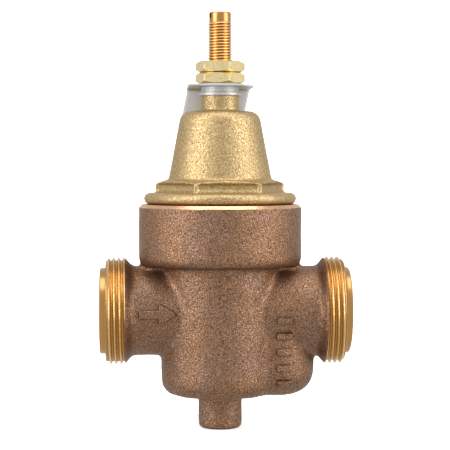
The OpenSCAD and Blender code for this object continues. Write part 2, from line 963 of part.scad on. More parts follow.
valve_body();
module_cage();
seat_ring();
upper_cage_o_ring();
lower_cage_o_ring();
strainer_screen();
lower_strainer_ring();
upper_strainer_ring();
stem();
piston_o_ring();
seat_disc();
disc_holder();
disc_nut();
diaphragm_washer();
diaphragm();
diaphragm_plate();
diaphragm_nut();
friction_ring();
range_spring();
spring_button();
bell_housing();
neck_collar();
name_tag();
adjusting_screw();
nut_seal_washer();
lower_lock_nut();
upper_lock_nut();
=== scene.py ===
# %% [markdown]
# # A water pressure reducing valve
#
# This valve sits in a house's water pipe, between two union nuts. Its heavy body is bronze cast in sand.
# A brass bell on top holds a strong spring, and a brass screw with two lock nuts sets how hard the spring
# pushes. The CAD model gives every size and place, and this lesson gives the pieces their true surfaces.
# The sizes could be typed in again here, but they are read from the CAD model, so both always agree.

# %% Load the CAD model and its sizes
import json
import math
import bpy
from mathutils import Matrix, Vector


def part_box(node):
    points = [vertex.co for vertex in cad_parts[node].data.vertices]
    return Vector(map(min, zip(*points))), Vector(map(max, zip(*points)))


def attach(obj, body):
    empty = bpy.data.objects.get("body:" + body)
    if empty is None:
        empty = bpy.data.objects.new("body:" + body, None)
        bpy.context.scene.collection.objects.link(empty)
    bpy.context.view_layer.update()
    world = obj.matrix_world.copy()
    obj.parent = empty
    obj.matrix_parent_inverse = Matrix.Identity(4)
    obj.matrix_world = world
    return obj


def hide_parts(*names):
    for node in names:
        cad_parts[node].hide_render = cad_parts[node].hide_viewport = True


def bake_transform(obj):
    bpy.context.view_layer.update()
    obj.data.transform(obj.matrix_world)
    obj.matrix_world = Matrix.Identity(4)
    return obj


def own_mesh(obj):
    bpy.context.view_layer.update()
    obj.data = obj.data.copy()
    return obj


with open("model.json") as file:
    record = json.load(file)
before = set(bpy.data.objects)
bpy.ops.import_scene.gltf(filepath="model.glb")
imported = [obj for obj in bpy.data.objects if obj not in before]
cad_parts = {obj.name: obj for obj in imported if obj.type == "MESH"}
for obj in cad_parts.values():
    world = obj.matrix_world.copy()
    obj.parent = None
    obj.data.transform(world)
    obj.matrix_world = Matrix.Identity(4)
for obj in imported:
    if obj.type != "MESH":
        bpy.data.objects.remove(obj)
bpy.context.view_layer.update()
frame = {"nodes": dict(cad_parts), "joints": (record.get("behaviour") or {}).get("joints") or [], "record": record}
joints = {joint["name"]: joint for joint in frame["joints"]}
mounts = {mount["name"]: mount for mount in frame["record"]["mounts"]}
mm = 0.001
axis_x = joints["screw_turn"]["pos_m"][0] / mm


def lowest(node, way):
    """The lowest place of a CAD node along X, Y or Z, in millimetres."""
    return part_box(node)[0]["XYZ".index(way)] / mm


def highest(node, way):
    """The highest place of a CAD node along X, Y or Z, in millimetres."""
    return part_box(node)[1]["XYZ".index(way)] / mm


print("CAD nodes:", len(frame["nodes"]), "and the vertical axis is at", round(axis_x, 1), "mm")

# %% [markdown]
# ## The camera
#
# The picture is taken from the front, a little to the inlet's side and from a little above the port axis.
# A long lens keeps the threads and the bell's sides nearly parallel, as in a product picture.

# %% Camera
camera_data = bpy.data.cameras.new("camera")
camera_data.lens = 125.8
camera = bpy.data.objects.new("camera", camera_data)
camera_distance = 700
camera_height = 66
camera_left = 33
camera.location = ((axis_x - camera_left) * mm, -camera_distance * mm, camera_height * mm)
look_at = Vector(((axis_x + 2.2) * mm, 0, 38.1 * mm))
camera.rotation_euler = (look_at - camera.location).to_track_quat("-Z", "Y").to_euler()
bpy.context.scene.collection.objects.link(camera)
bpy.context.scene.camera = camera
print("the camera is", round((look_at - camera.location).length, 3), "m from what it looks at")

# %% [markdown]
# ## Tools for making pieces
#
# Most of this valve was turned on a lathe or cast from a turned pattern. So the main tool draws half of an
# outline and spins it round an axis. A long list of points could be typed into a mesh directly, but
# extruding one point along the outline is what a person does by hand, and it is easy to change.

# %% Picking and spinning


def edit(piece):
    """Opens one piece in edit mode with nothing else selected."""
    bpy.ops.object.select_all(action="DESELECT")
    piece.select_set(True)
    bpy.context.view_layer.objects.active = piece
    bpy.ops.object.mode_set(mode="EDIT")


def trace(name, points):
    """A new piece that is one line through points in millimetres, left open in edit mode."""
    bpy.ops.object.select_all(action="DESELECT")
    bpy.ops.mesh.primitive_plane_add(size=mm)
    piece = bpy.context.object
    piece.name = name
    edit(piece)
    bpy.ops.mesh.select_mode(type="VERT")
    bpy.ops.mesh.select_all(action="SELECT")
    bpy.ops.mesh.merge(type="CENTER")
    here = Vector((0, 0, 0))
    for i, point in enumerate(points):
        step = (Vector(point) - here) * mm
        if i == 0:
            bpy.ops.transform.translate(value=step)
        else:
            bpy.ops.mesh.extrude_vertices_move(TRANSFORM_OT_translate={"value": step})
        here = Vector(point)
    bpy.ops.mesh.select_all(action="SELECT")
    return piece


def tidy_mesh(gap=0.0005):
    """Welds the doubled points of the open piece, turns its faces outwards and leaves edit mode."""
    bpy.ops.mesh.select_all(action="SELECT")
    bpy.ops.mesh.remove_doubles(threshold=gap * mm)
    bpy.ops.mesh.normals_make_consistent(inside=False)
    bpy.ops.object.mode_set(mode="OBJECT")


def turned(name, outline, way="Z", centre=axis_x, sides=128):
    """A shape turned on a lathe. The outline's points are (radius, distance along the axis)."""
    if way == "Z":
        points = [(centre + r, 0, along) for r, along in outline]
        axis, middle = (0, 0, 1), (centre * mm, 0, 0)
    else:
        points = [(along, 0, r) for r, along in outline]
        axis, middle = (1, 0, 0), (0, 0, 0)
    piece = trace(name, points)
    bpy.ops.mesh.spin(steps=sides, angle=2 * math.pi, center=middle, axis=axis)
    tidy_mesh()
    return piece


def arc(centre, radius, start, end, steps=8):
    """Points on part of a circle in an outline, from one angle in degrees to another."""
    angles = [math.radians(start + (end - start) * i / steps) for i in range(steps + 1)]
    return [(centre[0] + radius * math.cos(a), centre[1] + radius * math.sin(a)) for a in angles]


print("picking and spinning ready")

# %% [markdown]
# ### Joining, cutting and smoothing
#
# A casting is many simple shapes that flow into each other, and a machined face is a clean cut. Modifiers do
# both, and each is applied at once, so the mesh that is seen is the mesh that is there. They could be left
# live and changed later, but a cut then depends on tools that have to stay hidden in the file.

# %% Joining, cutting and smoothing


def finish(piece, kind, **settings):
    """Adds one modifier to a piece and applies it at once."""
    bpy.ops.object.select_all(action="DESELECT")
    piece.select_set(True)
    bpy.context.view_layer.objects.active = piece
    modifier = piece.modifiers.new(kind, kind)
    for setting, value in settings.items():
        setattr(modifier, setting, value)
    bpy.ops.object.modifier_apply(modifier=modifier.name)
    return piece


def combine(piece, tool, operation="DIFFERENCE"):
    """Cuts a tool from a piece, adds it, or keeps only what both share. The tool is used up."""
    finish(piece, "BOOLEAN", object=tool, operation=operation, solver="MANIFOLD")
    bpy.data.objects.remove(tool)
    return piece


def joined(name, pieces):
    """Puts several overlapping shapes into one piece, ready to be wrapped in one skin."""
    bpy.ops.object.select_all(action="DESELECT")
    for piece in pieces:
        piece.select_set(True)
    bpy.context.view_layer.objects.active = pieces[0]
    bpy.ops.object.join()
    bpy.context.object.name = name
    return bpy.context.object


def skinned(piece, fineness, rounds):
    """Wraps a piece in one even skin and smooths it, which fills inner corners as a casting does."""
    finish(piece, "REMESH", mode="VOXEL", voxel_size=fineness * mm)
    finish(piece, "SMOOTH", factor=0.5, iterations=rounds)
    return piece


def block(name, low, high):
    """A plain block between two corners, for joining to a casting or for cutting with."""
    bpy.ops.object.select_all(action="DESELECT")
    bpy.ops.mesh.primitive_cube_add(size=1)
    piece = bpy.context.object
    piece.name = name
    size = Vector(high) - Vector(low)
    middle = (Vector(high) + Vector(low)) / 2
    edit(piece)
    bpy.ops.transform.resize(value=size * mm)
    bpy.ops.transform.translate(value=middle * mm)
    bpy.ops.object.mode_set(mode="OBJECT")
    return piece


def plate(name, outline, y_low, y_high):
    """A flat plate of any outline. The outline's points are (x, z), and its thickness runs along Y."""
    piece = trace(name, [(x, y_low, z) for x, z in outline])
    bpy.ops.mesh.edge_face_add()
    bpy.ops.mesh.extrude_region_move(TRANSFORM_OT_translate={"value": (0, (y_high - y_low) * mm, 0)})
    tidy_mesh()
    return piece


def coated(piece, material, angle=35):
    """Gives a piece one material all over. Round faces are shaded smoothly and machined edges stay sharp."""
    piece.data.materials.clear()
    piece.data.materials.append(material)
    for face in piece.data.polygons:
        face.material_index = 0
    smooth_shading(piece, angle)


def smooth_shading(piece, angle):
    """Shades the faces that meet at less than an angle, in degrees, as one smooth surface."""
    bpy.ops.object.select_all(action="DESELECT")
    piece.select_set(True)
    bpy.context.view_layer.objects.active = piece
    bpy.ops.object.shade_smooth_by_angle(angle=math.radians(angle))


def machined(piece, cutter, skin, cut_face):
    """Cuts a rough casting. Its skin gets one material, and every face that the cutter leaves another."""
    piece.data.materials.clear()
    piece.data.materials.append(skin)
    coated(cutter, cut_face)
    finish(piece, "BOOLEAN", object=cutter, operation="DIFFERENCE", solver="MANIFOLD",
           material_mode="TRANSFER")
    bpy.data.objects.remove(cutter)
    smooth_shading(piece, 40)
    print(piece.name, len(piece.data.polygons), "faces", [m.name for m in piece.data.materials])


print("tools ready")

# %% [markdown]
# ## Materials
#
# A colour picked on a screen is an sRGB code, and the renderer wants linear light, so one function turns
# codes into linear colours. One more function adds a node and fills or links its inputs. Patterns read
# Object coordinates in metres, so a grain of half a millimetre is simply a scale of one over 0.0005.

# %% Colour and nodes


def linear(code):
    """Turns an sRGB code such as 'c8a05a' into a linear colour."""
    parts = [int(code[i:i + 2], 16) / 255 for i in (0, 2, 4)]
    return [p / 12.92 if p <= 0.04045 else ((p + 0.055) / 1.055) ** 2.4 for p in parts] + [1]


def per(size):
    """The pattern scale that gives features of this size in millimetres."""
    return 1 / (size * mm)


def add(material, kind, inputs, **settings):
    """Adds one node, sets its settings, and fills or links its inputs by name or number."""
    node = material.node_tree.nodes.new(kind)
    for setting, value in settings.items():
        setattr(node, setting, value)
    for socket, value in inputs.items():
        if isinstance(value, bpy.types.NodeSocket):
            material.node_tree.links.new(value, node.inputs[socket])
        else:
            node.inputs[socket].default_value = value
    return node


def new_material(name):
    """An empty material, and the Object coordinates that its patterns read."""
    material = bpy.data.materials.new(name)
    material.use_nodes = True
    material.node_tree.nodes.clear()
    place = add(material, "ShaderNodeTexCoord", {}).outputs["Object"]
    return material, place


def output(material, shader):
    """Sends a shader to the material's surface."""
    add(material, "ShaderNodeOutputMaterial", {"Surface": shader.outputs[0]})


# %% [markdown]
# ### Sand-cast bronze
#
# The body is bronze poured into damp sand. Each sand grain leaves a dimple, so the skin is rough, and the
# heat leaves a thin brown oxide that varies from place to place. Shot blasting then bares the tops of the
# grains, which glint gold. So one fine pattern makes the dimples, and the same pattern makes the tops
# brighter and smoother than the pits. Broad soft noise varies the oxide. A node that measures how closed in
# a place is paints shade into the inner corners and creases, in the pits' dark colour.

# %% Sand-cast bronze


def cast_metal(name, pit_and_shade, face, glint, stain, grain, depth, roughness):
    """A blasted casting: dark pits, a main colour, bright grain tops, a broad stain and painted corner shade."""
    material, place = new_material(name)
    sand = add(material, "ShaderNodeTexNoise", {"Vector": place, "Scale": per(grain), "Detail": 4,
                                                "Roughness": 0.62}).outputs["Fac"]
    cells = add(material, "ShaderNodeTexVoronoi", {"Vector": place, "Scale": per(grain * 1.4)},
                feature="F1").outputs["Distance"]
    broad = add(material, "ShaderNodeTexNoise", {"Vector": place, "Scale": per(14),
                                                 "Detail": 3}).outputs["Fac"]
    low = add(material, "ShaderNodeMapRange", {"Value": sand, "From Min": 0.36, "From Max": 0.56}).outputs[0]
    top = add(material, "ShaderNodeMapRange", {"Value": sand, "From Min": 0.58, "From Max": 0.72}).outputs[0]
    wash = add(material, "ShaderNodeMapRange", {"Value": broad, "From Min": 0.4, "From Max": 0.68,
                                                "To Max": 0.55}).outputs[0]
    ground = add(material, "ShaderNodeMix", {0: wash, 6: linear(face), 7: linear(stain)}, data_type="RGBA")
    pitted = add(material, "ShaderNodeMix", {0: low, 6: linear(pit_and_shade), 7: ground.outputs[2]}, data_type="RGBA")
    bared = add(material, "ShaderNodeMix", {0: top, 6: pitted.outputs[2], 7: linear(glint)},
                data_type="RGBA")
    # Painted shade: the occlusion node darkens inner corners and creases to the pits' colour.
    corner_shade = add(material, "ShaderNodeAmbientOcclusion", {"Distance": 1.6 * mm}, samples=8).outputs["AO"]
    unshaded_share = add(material, "ShaderNodeMapRange", {"Value": corner_shade, "From Min": 0.35,
                                                   "From Max": 0.88}).outputs[0]
    colour = add(material, "ShaderNodeMix", {0: unshaded_share, 6: linear(pit_and_shade), 7: bared.outputs[2]},
                 data_type="RGBA")
    dull = add(material, "ShaderNodeMapRange", {"Value": sand, "From Min": 0.35, "From Max": 0.7,
                                                "To Min": roughness + 0.1, "To Max": roughness - 0.12})
    height = add(material, "ShaderNodeMath", {0: sand, 1: cells}, operation="ADD").outputs[0]
    bump = add(material, "ShaderNodeBump", {"Strength": 0.75, "Distance": depth * mm, "Height": height})
    shader = add(material, "ShaderNodeBsdfPrincipled", {
        "Base Color": colour.outputs[2], "Metallic": 1.0, "Roughness": dull.outputs[0],
        "Normal": bump.outputs[0]})
    output(material, shader)
    return material


# The first colour is the pits' colour and also the painted shade in the inner corners.
sand_cast_bronze = cast_metal("sand_cast_bronze", "4e3a2e", "9a7458", "d6ac86", "967a6c",
                              grain=0.5, depth=0.16, roughness=0.5)

# %% [markdown]
# ### Blasted cast brass
#
# The bell is brass, which has more zinc and so is paler and more yellow. It was cast in the same way, but its
# dimples are shallower, and it was blasted until no oxide was left, so its pits are ochre instead of brown.

# %% Blasted cast brass
# The first colour is the pits' colour and also the painted shade in the inner corners.
blasted_brass = cast_metal("blasted_cast_brass", "8c7048", "bca478", "e0cda4", "b4a078",
                           grain=0.6, depth=0.12, roughness=0.5)
print("cast metals made:", sand_cast_bronze.name, "and", blasted_brass.name)

# %% [markdown]
# ### Turned brass and bronze
#
# A lathe tool leaves fine rings round the axis that it turned about. They are drawn as noise squashed
# along the axis, and they change the height a little, so highlights stretch along the part.
# The real rings are about 0.05 mm apart, too fine to show, so these are drawn 0.2 mm apart. Shade is painted
# into a thread's colour: it gets darker from the crests down to the roots, and all that is narrower than the
# roots takes the roots' dark colour.

# %% Turned metals


def turned_metal(name, colour, shade, roughness, way="Z", ring=0.2, root=None):
    """A lathe-turned metal. Root, if given, is the root radius, the crest radius and the roots' painted shade."""
    material, place = new_material(name)
    stretch = (per(30), per(30), per(ring)) if way == "Z" else (per(ring), per(30), per(30))
    spread = add(material, "ShaderNodeMapping", {"Vector": place, "Scale": stretch}).outputs[0]
    rings = add(material, "ShaderNodeTexNoise", {"Vector": spread, "Scale": 1, "Detail": 2}).outputs["Fac"]
    spots = add(material, "ShaderNodeTexNoise", {"Vector": place, "Scale": per(1.2),
                                                 "Detail": 3}).outputs["Fac"]
    blotch = add(material, "ShaderNodeMapRange", {"Value": spots, "From Min": 0.42,
                                                  "From Max": 0.7}).outputs[0]
    paint = add(material, "ShaderNodeMix", {0: blotch, 6: linear(colour), 7: linear(shade)},
                data_type="RGBA").outputs[2]
    if root:
        inner, outer, dark = root
        across = (1, 1, 0) if way == "Z" else (0, 1, 1)
        centred = add(material, "ShaderNodeVectorMath", {0: place, 1: (axis_x * mm, 0, 0)},
                      operation="SUBTRACT")
        flat = add(material, "ShaderNodeVectorMath", {0: centred.outputs[0], 1: across},
                   operation="MULTIPLY")
        reach = add(material, "ShaderNodeVectorMath", {0: flat.outputs[0]},
                    operation="LENGTH").outputs["Value"]
        # Painted shade: the colour darkens from the crests down into the thread roots.
        root_shade_mask = add(material, "ShaderNodeMapRange", {"Value": reach, "From Min": inner * mm,
                                                    "From Max": outer * mm}).outputs[0]
        paint = add(material, "ShaderNodeMix", {0: root_shade_mask, 6: linear(dark), 7: paint},
                    data_type="RGBA").outputs[2]
    dull = add(material, "ShaderNodeMapRange", {"Value": rings, "To Min": roughness - 0.06,
                                                "To Max": roughness + 0.1})
    bump = add(material, "ShaderNodeBump", {"Strength": 0.3, "Distance": 0.02 * mm, "Height": rings})
    shader = add(material, "ShaderNodeBsdfPrincipled", {
        "Base Color": paint, "Metallic": 1.0, "Roughness": dull.outputs[0], "Normal": bump.outputs[0]})
    output(material, shader)
    return material


screw_r = 5.5
screw_minor_r = 4.72
turned_brass = turned_metal("turned_brass", "e8c07a", "d8a25a", roughness=0.22)
# The last colour is the painted shade in the thread roots.
threaded_brass = turned_metal("threaded_brass", "f6d9a2", "ecbc78", roughness=0.24,
                              root=(screw_minor_r, screw_r - 0.2, "a87034"))
turned_bronze = turned_metal("turned_bronze", "e0b48c", "cc9a70", roughness=0.25)
nut_brass = turned_metal("milled_nut_brass", "ecd8a4", "dcc48a", roughness=0.28)
satin_aluminium = turned_metal("satin_turned_aluminium", "c6c4c2", "b3b1af", roughness=0.5)
thread_minor_r = 22.42
thread_r = mounts["inlet_union_thread"]["dims"]["r_mm"]
# The last colour is the painted shade in the thread roots.
thread_bronze = turned_metal("threaded_bronze", "e4c48c", "d2ab6a", roughness=0.24, way="X",
                             root=(thread_minor_r, thread_r - 0.2, "b88c54"))
print("turned metals made")

# %% [markdown]
# ### Sheet, steel, rubber and plastic
#
# The tag is rolled aluminium sheet, which is matt and nearly even in colour. The inner parts are plated or
# stainless steel and black rubber. They hardly show, but each still gets its own finish.

# %% Sheet, steel, rubber and plastic


def plain_finish(name, colour, shade, grain, depth, roughness, metallic):
    """An even finish with a soft mottle and a fine bump of the given grain."""
    material, place = new_material(name)
    mottle = add(material, "ShaderNodeTexNoise", {"Vector": place, "Scale": per(grain),
                                                  "Detail": 3}).outputs["Fac"]
    paint = add(material, "ShaderNodeMix", {0: mottle, 6: linear(colour), 7: linear(shade)},
                data_type="RGBA")
    bump = add(material, "ShaderNodeBump", {"Strength": 0.4, "Distance": depth * mm, "Height": mottle})
    shader = add(material, "ShaderNodeBsdfPrincipled", {
        "Base Color": paint.outputs[2], "Metallic": metallic, "Roughness": roughness,
        "Normal": bump.outputs[0]})
    output(material, shader)
    return material


mill_aluminium = plain_finish("mill_finish_aluminium", "d9dad8", "cfd0ce", 0.8, 0.01, 0.42, 1.0)
stainless_steel = plain_finish("stainless_steel", "c4c4c2", "adadab", 0.6, 0.01, 0.28, 1.0)
zinc_plated_steel = plain_finish("zinc_plated_steel", "b9bec2", "a3a9ae", 1.2, 0.02, 0.38, 1.0)
oiled_spring_steel = plain_finish("oiled_spring_steel", "6e7074", "55575b", 0.5, 0.02, 0.4, 1.0)
nitrile_rubber = plain_finish("nitrile_rubber", "1b1b1c", "262627", 0.4, 0.03, 0.62, 0.0)
natural_nylon = plain_finish("natural_nylon", "e4e1d8", "d8d4c9", 0.7, 0.02, 0.45, 0.0)
print("materials made:", len(bpy.data.materials))

# %% [markdown]
# ## The body casting
#
# The real body is one casting: a round trunk with a wide head, an arm on each side for the pipes, a lobe
# that carries water up to the outlet arm, and a plain boss underneath. The pattern maker rounds every inner
# corner so that the metal flows. Each of these shapes is turned or boxed here and left overlapping. One
# coarse skin is wrapped round them all and smoothed, which gives soft fillets wherever two shapes meet.
# Bevelling each crossing edge by hand would be slow, and a bevel can't follow such a changing corner.

# %% Sizes of the casting
port_r = mounts["inlet_port"]["dims"]["r_mm"]
inlet_face = lowest("valve_body", "X")
outlet_face = highest("valve_body", "X")
thread_len = mounts["inlet_union_thread"]["dims"]["length_mm"]
spigot_len = mounts["inlet_union_thread"]["pos_m"][0] / mm - thread_len / 2
shoulder = spigot_len + thread_len
cone_len = 3.2
arm_wall = 6.8
arm_r = port_r + arm_wall
head_r = highest("valve_body", "Y")
head_top = highest("valve_body", "Z")
boss_bottom = lowest("valve_body", "Z")
boss_r = 9.8
boss_len = 15.1
body_bottom = boss_bottom + boss_len
trunk_r = 26.3
head_bottom = 20.5
lobe_r = 18
lobe_x = axis_x + 24
lobe_top = 5
lobe_edge = 11
web_half = 5
overlap = 4
spare = 3
print("head radius", round(head_r, 1), "and arm radius", round(arm_r, 1))

# %% Rough shapes of the casting


def post(name, radius, bottom, top, edge, centre=axis_x):
    """An upright post whose lower edge is rounded."""
    outline = [(0, bottom)] + arc((radius - edge, bottom + edge), edge, -90, 0) + [(radius, top), (0, top)]
    return turned(name, outline, centre=centre)


trunk = post("trunk", trunk_r, body_bottom, head_bottom + overlap, edge=6.5)
head = post("head", head_r, head_bottom, head_top + spare, edge=2.6)
boss = post("boss", boss_r, boss_bottom, body_bottom + overlap, edge=1.2)
lobe = post("lobe", lobe_r, body_bottom, lobe_top, lobe_edge, centre=lobe_x)
web = block("web", (axis_x - head_r + overlap, -web_half, 0),
            (axis_x + head_r - overlap, web_half, head_bottom + 1))
arms = []
for name, end, inward in (("inlet_arm", inlet_face, 1), ("outlet_arm", outlet_face, -1)):
    outline = [(0, axis_x), (arm_r, axis_x), (arm_r, end + inward * (shoulder + cone_len)),
               (thread_r, end + inward * shoulder), (thread_r, end + inward * (shoulder - spare)),
               (0, end + inward * (shoulder - spare))]
    arms.append(turned(name, outline, way="X"))
casting = joined("body_casting", [trunk, head, boss, lobe, web] + arms)
skinned(casting, fineness=0.9, rounds=20)
print("soft casting:", len(casting.data.polygons), "faces")

# %% [markdown]
# ### Raised marks on the casting
#
# An arrow on the inlet arm shows which way the water flows, and a column of bars stands on the lobe. They
# are part of the sand mould, so they keep the casting's rough skin. Each is cut as a deep plate and trimmed
# to stand 1.2 mm out of the round wall. Then a fine skin of its own is smoothed a little, which slopes its
# edges, because upright sides would tear the sand when the pattern is lifted out. A bevel could slope them
# too, but it left meshes that the join to the casting could not use.

# %% Flow arrow and tally bars
relief = 1.2
tail = axis_x - trunk_r - 9.8
tip = axis_x - trunk_r + 6.7
head_start = tip - 7.8
shaft_half = 1.85
head_half = 4.95
mark_front, mark_back = -arm_r - 5, -5
arrow_outline = [(tail, -shaft_half), (head_start, -shaft_half), (head_start, -head_half), (tip, 0),
                 (head_start, head_half), (head_start, shaft_half), (tail, shaft_half)]
arrow = plate("arrow", arrow_outline, mark_front, mark_back)
arrow_trim = [(0, 0), (arm_r + relief, 0), (arm_r + relief, axis_x), (0, axis_x)]
combine(arrow, turned("arrow_trim", arrow_trim, way="X"), "INTERSECT")
bar_length = 7
bar_width = 2.8
bar_step = 7
bar_plates = []
for i in range(5):
    bottom = body_bottom + 5 + bar_step * i
    bar_outline = [(lobe_x, bottom), (lobe_x + bar_length, bottom),
                   (lobe_x + bar_length, bottom + bar_width), (lobe_x, bottom + bar_width)]
    bar_plates.append(plate("bar", bar_outline, mark_front, mark_back))
bars = joined("bars", bar_plates)
bar_trim = post("bar_trim", lobe_r + relief, body_bottom - relief, lobe_top, lobe_edge + relief,
                centre=lobe_x)
arm_trim = [(0, lobe_x - 10), (arm_r + relief, lobe_x - 10),
            (arm_r + relief, lobe_x + lobe_r), (0, lobe_x + lobe_r)]
combine(bar_trim, turned("arm_trim", arm_trim, way="X"), "UNION")
combine(bars, bar_trim, "INTERSECT")
for mark in (arrow, bars):
    skinned(mark, fineness=0.3, rounds=3)
    combine(casting, mark, "UNION")
print("casting with its marks:", len(casting.data.polygons), "faces")

# %% [markdown]
# ### Uneven skin
#
# No casting is perfectly even, so soft noise moves its skin in or out by less than 0.2 mm. It could be bump
# in the material instead, but then the outline would stay perfectly straight. It comes before the
# machining, so the cut faces stay flat and their edges sharp, as on the real body.

# %% Uneven skin
waves = bpy.data.textures.new("casting_waves", "CLOUDS")
waves.noise_scale = 7 * mm
finish(casting, "DISPLACE", texture=waves, texture_coords="LOCAL", strength=0.35 * mm, mid_level=0.5)
print("uneven casting:", len(casting.data.polygons), "faces")

# %% [markdown]
# ### Bores and machined faces
#
# The machine shop cuts what must fit: the flat top and its bevel, both ends, and the chambers and bores
# that the water runs through. The casting could be cut by each tool in turn, but its mesh is heavy, so the
# cutters are joined into one shape first and it is cut once. The cutter wears bright bronze, and each face
# that it leaves in the dark casting keeps that material.

# %% Bores and machined faces
chamber_r, flange_r, skirt_r, throat_r, outlet_chamber_r = 21.5, 23.5, 30.05, 14.05, 20
flange_seat = port_r + 8.5
ledge = highest("friction_ring", "Z") - 3
throat_top = -(port_r + 3)
throat_bottom = throat_top - 4
wall = 4.5
outlet_floor = body_bottom + wall
bevel = 1.4
lead_in = 0.8
past = 9
inside = turned("inside", [
    (0, outlet_floor), (outlet_chamber_r, outlet_floor), (outlet_chamber_r, throat_bottom),
    (throat_r, throat_bottom), (throat_r, throat_top), (chamber_r, throat_top), (chamber_r, flange_seat),
    (flange_r, flange_seat), (flange_r, ledge), (skirt_r, ledge), (skirt_r, head_top - lead_in),
    (skirt_r + lead_in, head_top), (skirt_r + lead_in, head_top + past), (0, head_top + past)])
duct = post("duct", lobe_r - wall, outlet_floor, 0, lobe_edge - wall, centre=lobe_x)
duct_start = axis_x + chamber_r + 5
combine(duct, block("duct_side", (duct_start, -30, outlet_floor - 1), (outlet_face, 30, 1)), "INTERSECT")
window = block("window", (axis_x + 15, -10, outlet_floor), (duct_start + 1, 10, throat_bottom - 2))
tools = [duct, window,
         turned("inlet_bore", [(0, -past), (port_r, -past), (port_r, axis_x), (0, axis_x)], way="X"),
         turned("outlet_bore", [(0, duct_start + 1.5), (port_r, duct_start + 1.5),
                                (port_r, outlet_face + past), (0, outlet_face + past)], way="X"),
         turned("top_face", [(head_r - bevel, head_top + past), (head_r - bevel, head_top),
                             (head_r + 1, head_top - bevel - 1), (head_r + past, head_top - bevel - 1),
                             (head_r + past, head_top + past), (head_r - bevel, head_top + past)]),
         block("top_cut", (axis_x - 60, -60, head_top), (axis_x + 60, 60, head_top + past)),
         block("inlet_cut", (inlet_face - past, -40, -40), (inlet_face + shoulder, 40, 40)),
         block("outlet_cut", (outlet_face - shoulder, -40, -40), (outlet_face + past, 40, 40))]
for tool in tools:
    combine(inside, tool, "UNION")
machined(casting, inside, skin=sand_cast_bronze, cut_face=turned_bronze)

# %% [markdown]
# ## The union threads
#
# Each end has a pipe thread with rounded crests, 11 to the inch, and a plain spigot that the gasket seals
# on. A stack of rings would look right from far away, but a real thread is one line that climbs. So one
# tooth is drawn and the screw tool winds it round. It winds on past both ends, and what it shares with a
# chamfered blank is kept, so the thread starts and stops as a cut one does.

# %% Winding a thread


def wound_thread(name, minor_r, major_r, pitch, start, end, way, sides):
    """A long rod with a right-hand thread, closed at both ends, which runs past its start and end.
    The screw tool winds back from the tooth, so the tooth is drawn past the end."""
    flank = [(0, 0), (0.1, 0.05), (0.22, 0.3), (0.42, 0.93)]
    tooth = flank + [(0.5, 1), (0.58, 0.93), (0.78, 0.3), (0.9, 0.05), (1, 0)]
    first = end + 0.3 * pitch
    turns = math.ceil((end - start) / pitch + 2.6)
    outline = [(minor_r + up * (major_r - minor_r), first + along * pitch) for along, up in tooth]
    if way == "Z":
        piece = trace(name, [(axis_x + r, 0, along) for r, along in outline])
        bpy.ops.mesh.screw(steps=sides, turns=turns, center=(axis_x * mm, 0, 0), axis=(0, 0, -1))
    else:
        piece = trace(name, [(along, 0, r) for r, along in outline])
        bpy.ops.mesh.screw(steps=sides, turns=turns, center=(0, 0, 0), axis=(-1, 0, 0))
    bpy.ops.mesh.select_all(action="SELECT")
    bpy.ops.mesh.remove_doubles(threshold=0.002 * mm)
    bpy.ops.mesh.select_all(action="DESELECT")
    bpy.ops.mesh.select_non_manifold()
    bpy.ops.mesh.fill_holes(sides=0)
    bpy.ops.mesh.select_mode(type="FACE")
    bpy.ops.mesh.select_face_by_sides(number=4, type="GREATER")
    bpy.ops.mesh.poke()
    tidy_mesh(gap=0.002)
    return piece


spigot_r = port_r + 6.1
pipe_pitch = 2.309


def union_end(name, face, inward):
    """One threaded end with its spigot, from the flat face to the shoulder on the arm."""
    blank = turned(name, [
        (0, face), (spigot_r - 0.5, face), (spigot_r, face + inward * 0.5),
        (spigot_r, face + inward * spigot_len), (thread_minor_r - 0.4, face + inward * spigot_len),
        (thread_r, face + inward * (spigot_len + 1.6)), (thread_r, face + inward * shoulder),
        (0, face + inward * shoulder)], way="X")
    low, high = sorted((face, face + inward * shoulder))
    tooth = wound_thread("tooth", thread_minor_r, thread_r, pipe_pitch, low, high, "X", 96)
    combine(blank, tooth, "INTERSECT")
    bore = turned("bore", [(0, low - 5), (port_r, low - 5), (port_r, high + 5), (0, high + 5)], way="X")
    combine(blank, bore)
    coated(blank, thread_bronze, 35)
    print(name, len(blank.data.polygons), "faces")
    return blank


inlet_end = union_end("inlet_union_end", inlet_face, 1)
outlet_end = union_end("outlet_union_end", outlet_face, -1)

# %% [markdown]
# ## The bell housing
#
# The bell is cast brass: a rolled rim that lands on the body, a hexagon for a large spanner, a tapering
# cone with a round shoulder, and a short neck. Like the body it is built of turned shapes under one skin.
# The hexagon's flats sink a little, as thick cast faces do when they cool, so a shallow block is pressed
# into each flat before the skin goes on.

# %% Sizes of the bell
rim_t = 5.1
rim_top = head_top + rim_t
hex_h = 6
hex_top = rim_top + hex_h
bell_h = 36.2
bell_top = rim_top + bell_h
neck_top = lowest("neck_collar", "Z")
hex_flat = 25.3
hex_corner = hex_flat / math.cos(math.radians(30))
hex_facing = 35.4
cone_base_r = 22.9
cone_top_r = 18.1
shoulder_r = 5
rim_r = head_r - 2.3
neck_r = 8.5
print("hexagon", round(2 * hex_flat, 1), "mm across flats and bell top at", round(bell_top, 1))

# %% [markdown]
# ### Outside of the bell
#
# The cone's shoulder and the rolled rim are arcs in the outlines that are spun. The hexagon could be spun
# too, with six steps, but a six-sided cylinder states what it is and turns to the right facing directly.

# %% Bell outside


